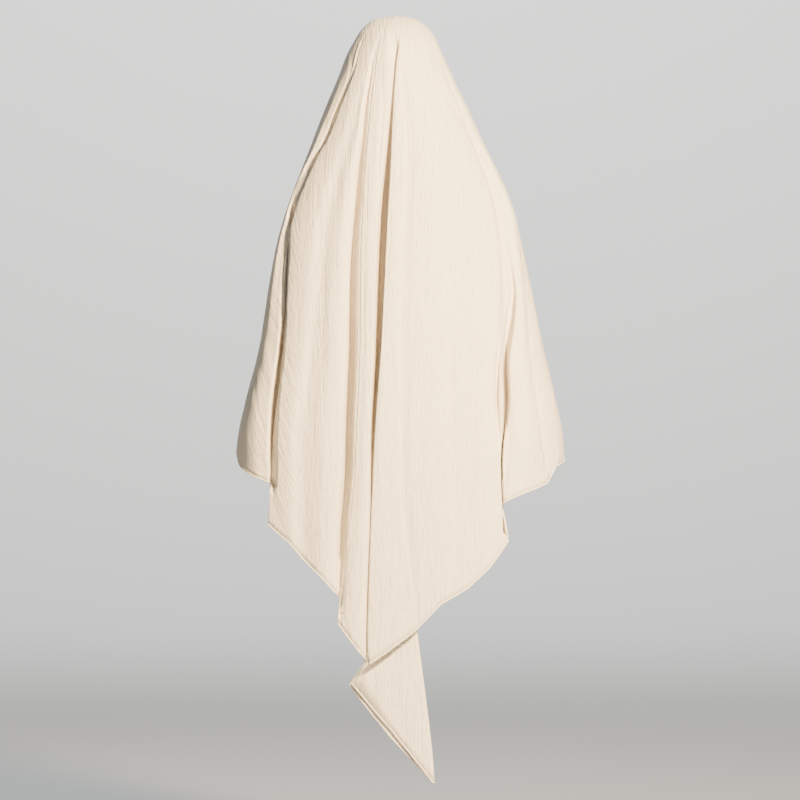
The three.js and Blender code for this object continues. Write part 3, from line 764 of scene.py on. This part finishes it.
def wrinkle(across, down):
    """Height of the soft wrinkles along the grain at a place of the cloth."""

    def heights(u, v):
        broad = noise.noise(Vector((u * 18, v * 2.4, 3.1)))
        soft = noise.noise(Vector((u * 46, v * 6.0 + broad, 7.7)))
        fine = noise.noise(Vector((u * 95, v * 14.0, 1.3)))
        return BROAD_WRINKLE * broad + SOFT_WRINKLE * soft + FINE_WRINKLE * fine

    return mix(heights(across, down), heights(*slant_place(across, down)),
               slant_share(across, down))


across_count = len(columns)
last_column = across_count - 1
last_row = len(places) - 1
cloth_points = [[column.point(place) for place in places] for column in columns]
cloth_places = [
    [grain_place(column.share(place), column.turn(place)) for place in places]
    for column in columns
]


def grid_index(vert):
    up, j = divmod(vert.index, across_count)
    return j, last_row - up


def cloth_place(vert):
    j, i = grid_index(vert)
    return cloth_places[j][i]


cloth_grid = grid_mesh(across_count, len(places), lambda j, i: cloth_points[j][i])
cloth_grid.verts.index_update()
mesh_uv(cloth_grid, "grain", cloth_place)
mesh_uv(cloth_grid, "slant", lambda vert: slant_place(*cloth_place(vert)))
slanted_layer = cloth_grid.verts.layers.float.new("slanted")
cloth_grid.verts.ensure_lookup_table()
cloth_grid.normal_update()
if sum(face.normal.y for face in cloth_grid.faces if face.calc_center_median().y > 0.1) < 0:
    bmesh.ops.reverse_faces(cloth_grid, faces=cloth_grid.faces)
    cloth_grid.normal_update()
moves = []
for vert in cloth_grid.verts:
    j, i = grid_index(vert)
    vert[slanted_layer] = slant_share(*cloth_places[j][i])
    from_seam = min(j, last_column - j)
    calm = smooth_step(0, CALM_PLACES, places[i]) * smooth_step(0, CALM_COLUMNS, from_seam)
    moves.append(wrinkle(*cloth_places[j][i]) * calm * columns[j].tight)
for vert, move in zip(cloth_grid.verts, moves):
    vert.co += vert.normal * move
hem_line = [None] * across_count
for vert in cloth_grid.verts:
    j, i = grid_index(vert)
    if i == last_row:
        hem_line[j] = (vert.co.copy(), vert.normal.copy())
seam_line = []
for vert in cloth_grid.verts:
    j, i = grid_index(vert)
    if j == 0:
        seam_line.append((vert.co.copy(), vert.normal.copy()))
    if j in (0, last_column) and vert.co.z < -FACE_DROP - FACE_HEIGHT / 2:
        vert.co.y += SEAM_DITCH
seam_line.sort(key=lambda pair: -pair[0].z)


def face_reach(co):
    """How far a point of the front lies from the middle of the face opening: 1 on its edge."""
    up = (co.z + FACE_DROP) / (FACE_HEIGHT / 2)
    half = FACE_WIDTH / 2 * (1 + CHIN_NARROWING * max(min(up, 1), -1))
    return math.hypot(co.x / half, up)


inside = [
    face for face in cloth_grid.faces
    if face.calc_center_median().y < 0 and face_reach(face.calc_center_median()) < 1
]
rim = {vert for face in inside for vert in face.verts}
bmesh.ops.delete(cloth_grid, geom=inside, context="FACES")
for vert in rim:
    if vert.is_valid and vert.is_boundary and vert.co.z < -0.02:
        reach = face_reach(vert.co)
        x = vert.co.x / reach
        z = (vert.co.z + FACE_DROP) / reach - FACE_DROP
        vert.co = Vector((x, vert.co.y, z))
bmesh.ops.remove_doubles(cloth_grid, verts=cloth_grid.verts, dist=0.00002)
veil = finish_piece(cloth_grid, "veil_drape", crepe)
thickness = veil.modifiers.new("thickness", "SOLIDIFY")
thickness.thickness = CLOTH
thickness.offset = 0
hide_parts("veil_cloth")


# Rolled hem, face hem, seam and stitches
TUBE_SIDE_STEP = 0.0012             # width of one side of a tube, for its grain


def tube_piece(name, path, sides, offset_at, material, closed=True):
    """A tube round a path of points and normals. offset_at gives its section's offset."""
    count = len(path)

    def frame_at(j):
        before = path[(j - 1) % count if closed else max(j - 1, 0)][0]
        after = path[(j + 1) % count if closed else min(j + 1, count - 1)][0]
        here, normal = path[j % count]
        along = (after - before).normalized()
        out = (normal - along * normal.dot(along)).normalized()
        return here, out, along.cross(out)

    def place(j, i):
        j %= count
        here, out, side = frame_at(j)
        depth, across = offset_at(j, i / sides * 2 * math.pi)
        return here + out * depth + side * across

    rows = count + 1 if closed else count
    bm = grid_mesh(rows, sides + 1, place)
    bm.verts.index_update()
    for layer in ("grain", "slant"):
        mesh_uv(bm, layer, lambda vert: (
            (vert.index % rows) * BACK_STEP, (vert.index // rows) * TUBE_SIDE_STEP))
    bmesh.ops.remove_doubles(bm, verts=bm.verts, dist=0.00001)
    if not closed:
        bmesh.ops.holes_fill(bm, edges=[edge for edge in bm.edges if edge.is_boundary])
    bmesh.ops.recalc_face_normals(bm, faces=bm.faces)
    return finish_piece(bm, name, material)


def roll_offset(j, angle):
    plump = 1 + 0.14 * noise.noise(Vector((j * 0.45, 2.0, 5.0)))
    radius = HEM_ROLL / 2 * plump
    return math.cos(angle) * radius, radius * 0.6 + math.sin(angle) * radius


def stitch_row(path, depth, across, closed=True):
    """Places of stitches on a path of points and normals, one STITCH_PITCH apart."""
    stitches = []
    count = len(path)
    left = 0.0
    for j in range(count if closed else count - 1):
        (start, normal), (end, next_normal) = path[j], path[(j + 1) % count]
        reach = (end - start).length
        if reach < 1e-6:
            continue
        along = (end - start) / reach
        while left < reach:
            way = left / reach
            out = normal.lerp(next_normal, way)
            out = (out - along * out.dot(along)).normalized()
            side = along.cross(out)
            middle = start.lerp(end, way) + out * depth + side * across
            turned = Matrix((along, side, out)).transposed().to_4x4()
            sized = Matrix.Diagonal((STITCH_LENGTH / 2, STITCH_THICK / 2, STITCH_THICK / 2, 1))
            stitches.append(Matrix.Translation(middle) @ turned @ sized)
            left += STITCH_PITCH
        left -= reach
    return stitches


def stitch_piece(name, rows):
    stitches = [stitch for row in rows for stitch in stitch_row(*row)]
    bm = bmesh.new()
    carrier = bpy.data.meshes.new("stitch_carrier")
    for first in range(0, len(stitches), STITCH_BATCH):
        batch = bmesh.new()
        for stitch in stitches[first:first + STITCH_BATCH]:
            bmesh.ops.create_uvsphere(batch, u_segments=6, v_segments=4, radius=1, matrix=stitch)
        batch.to_mesh(carrier)
        batch.free()
        bm.from_mesh(carrier)
    bpy.data.meshes.remove(carrier)
    for face in bm.faces:
        face.smooth = True
    return finish_piece(bm, name, thread)


hem_loop = hem_line[:-1]
hem = tube_piece("rolled_hem", hem_loop, 10, roll_offset, hem_crepe)
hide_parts("bottom_hem")
hem_stitches = stitch_piece(
    "hem_stitches", [(hem_loop, CLOTH / 2 + 0.0002, -HEM_STITCH_RISE)])


def front_place(x, z):
    """A point of the front's cloth and its normal, which points outwards."""
    share = (CAD_WALL / 2 - z) / BACK_LENGTH
    half = section_at(share)[0 if x > 0 else 1]

    def at(px, drop):
        turn = 180 + math.degrees(math.asin(min(max(px / half, -1), 1)))
        return drape_point(drop, turn, front_fold_depth(turn, drop), 0)

    here = at(x, share)
    across = at(x + 0.002, share) - at(x - 0.002, share)
    down = at(x, share + 0.002) - at(x, share - 0.002)
    normal = across.cross(down).normalized()
    if normal.y > 0:
        normal = -normal
    return here, normal


FACE_STEPS = 120


def face_line():
    path = []
    for k in range(FACE_STEPS):
        angle = 2 * math.pi * k / FACE_STEPS
        up = math.cos(angle)
        half = FACE_WIDTH / 2 * (1 + CHIN_NARROWING * up)
        path.append(front_place(half * math.sin(angle), -FACE_DROP + FACE_HEIGHT / 2 * up))
    return path


def band_offset(j, angle):
    """A flat folded band that wraps the edge of the opening and lies outside it."""
    return (math.copysign(abs(math.cos(angle)) ** 0.7, math.cos(angle)) * FACE_BAND_THICK / 2,
            FACE_SIDE * (FACE_BAND / 2 - FACE_BAND_GRIP) + math.sin(angle) * FACE_BAND / 2)


rim_path = face_line()
normal = rim_path[0][1]
along = (rim_path[1][0] - rim_path[-1][0]).normalized()
FACE_SIDE = 1 if along.cross(normal).z > 0 else -1
face_hem = tube_piece("face_hem_band", rim_path, 12, band_offset, hem_crepe)
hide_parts("face_hem")
face_stitches = stitch_piece("face_stitches", [
    (rim_path, FACE_BAND_THICK / 2 + 0.0001, FACE_SIDE * (FACE_BAND - FACE_STITCH_INSET)),
])

SEAM_TOP = -FACE_DROP - FACE_HEIGHT / 2 - FACE_BAND
seam_path = [
    (point, Vector((0, -1, 0))) for point, normal in seam_line if SEAM_BOTTOM < point.z < SEAM_TOP
]


def seam_offset(j, angle):
    """The seam's flat allowance, on the inside of the cloth."""
    thick = math.copysign(abs(math.cos(angle)) ** 0.6, math.cos(angle)) * SEAM_THICK / 2
    return thick - SEAM_DITCH - CLOTH - SEAM_THICK / 2, math.sin(angle) * SEAM_WIDTH / 2


seam = tube_piece("front_seam_allowance", seam_path, 12, seam_offset, seam_crepe,
                  closed=False)
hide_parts("front_seam")
seam_stitches = stitch_piece("seam_stitches", [
    (seam_path, CLOTH / 2 - SEAM_DITCH * 0.4 + 0.0003, side * SEAM_STITCH_REACH, False)
    for side in (-1, 1)
])

# Studio: a pale floor that sweeps up into a plain wall far behind, with painted shade darkening it
# towards the front, and soft lights
WORLD_STRENGTH = 0.15
FLOOR = -1.60
SWEEP_START = -10.5                 # where the floor begins to curve up
SWEEP_RADIUS = 9.0
SWEEP_HALF_WIDTH = 14.0
SWEEP_STEPS = 26
FLOOR_FRONT = 14.0
WALL_TOP = 9.5
PAINTED_SHADE_START = -2.0                  # from here to the next value the floor and the wall grow paler: painted shade, darker near the front
PAINTED_SHADE_END = -17.5


def sweep_place(j, i):
    x = (j / 2 - 0.5) * 2 * SWEEP_HALF_WIDTH
    if i == 0:
        return Vector((x, FLOOR_FRONT, FLOOR))
    if i == SWEEP_STEPS:
        return Vector((x, SWEEP_START - SWEEP_RADIUS, WALL_TOP))
    angle = (i - 1) / (SWEEP_STEPS - 2) * math.pi / 2
    return Vector((x, SWEEP_START - SWEEP_RADIUS * math.sin(angle),
                   FLOOR + SWEEP_RADIUS * (1 - math.cos(angle))))


sweep_grid = grid_mesh(3, SWEEP_STEPS + 1, sweep_place)
sweep_mesh = bpy.data.meshes.new("studio_sweep")
sweep_grid.to_mesh(sweep_mesh)
sweep_grid.free()
sweep = bpy.data.objects.new("studio_sweep", sweep_mesh)
bpy.context.scene.collection.objects.link(sweep)
sweep_finish = Finish("pale_studio")
away = sweep_finish.node("ShaderNodeSeparateXYZ")
sweep_finish.feed(away, "Vector", sweep_finish.node("ShaderNodeTexCoord").outputs["Object"])
# Painted shade on the sweep: darker towards the front, which evens out the spill of the lamps.
shade = sweep_finish.node("ShaderNodeMapRange", From_Min=PAINTED_SHADE_START, From_Max=PAINTED_SHADE_END)
sweep_finish.feed(shade, "Value", away.outputs["Y"])
far = sweep_finish.number(shade.outputs[0])
sweep_finish.feed(sweep_finish.shader, "Base Color", sweep_finish.colour_mix(
    far * far * far * far, (0.39, 0.40, 0.40, 1), (0.76, 0.765, 0.765, 1)))
sweep_finish.shader.inputs["Roughness"].default_value = 0.95
sweep_finish.shader.inputs["Specular IOR Level"].default_value = 0.1
sweep_mesh.materials.append(sweep_finish.material)

world = bpy.data.worlds.new("room")
bpy.context.scene.world = world
world.use_nodes = True
world.node_tree.nodes["Background"].inputs["Color"].default_value = (0.8, 0.9, 1.0, 1)
world.node_tree.nodes["Background"].inputs["Strength"].default_value = WORLD_STRENGTH


def soft_light(name, place, target, size, watts, colour=(1, 1, 1)):
    data = bpy.data.lights.new(name, "AREA")
    data.shape = "DISK"
    data.size = size
    data.energy = watts
    data.color = colour
    light = bpy.data.objects.new(name, data)
    bpy.context.scene.collection.objects.link(light)
    light.location = place
    light.visible_camera = False
    light.rotation_euler = (Vector(target) - Vector(place)).to_track_quat("-Z", "Y").to_euler()


# One warm key light from the photograph's right, so that the valleys lie in shade
WARM = (1.0, 0.76, 0.44)
soft_light("key_light", (-1.05, 2.4, 0.5), (0, 0, -0.45), 0.35, 540, WARM)
soft_light("front_fill", (0.2, 6.1, -0.3), (0, 0, -0.5), 0.8, 25, (0.85, 0.95, 1.0))
soft_light("face_light", (0.5, -3.0, 1.8), (0, 0, -0.5), 1.6, 130)
soft_light("wall_light", (0, -9.5, 8.0), (0, -15, -0.5), 6.0, 2300, (1.0, 0.99, 0.97))
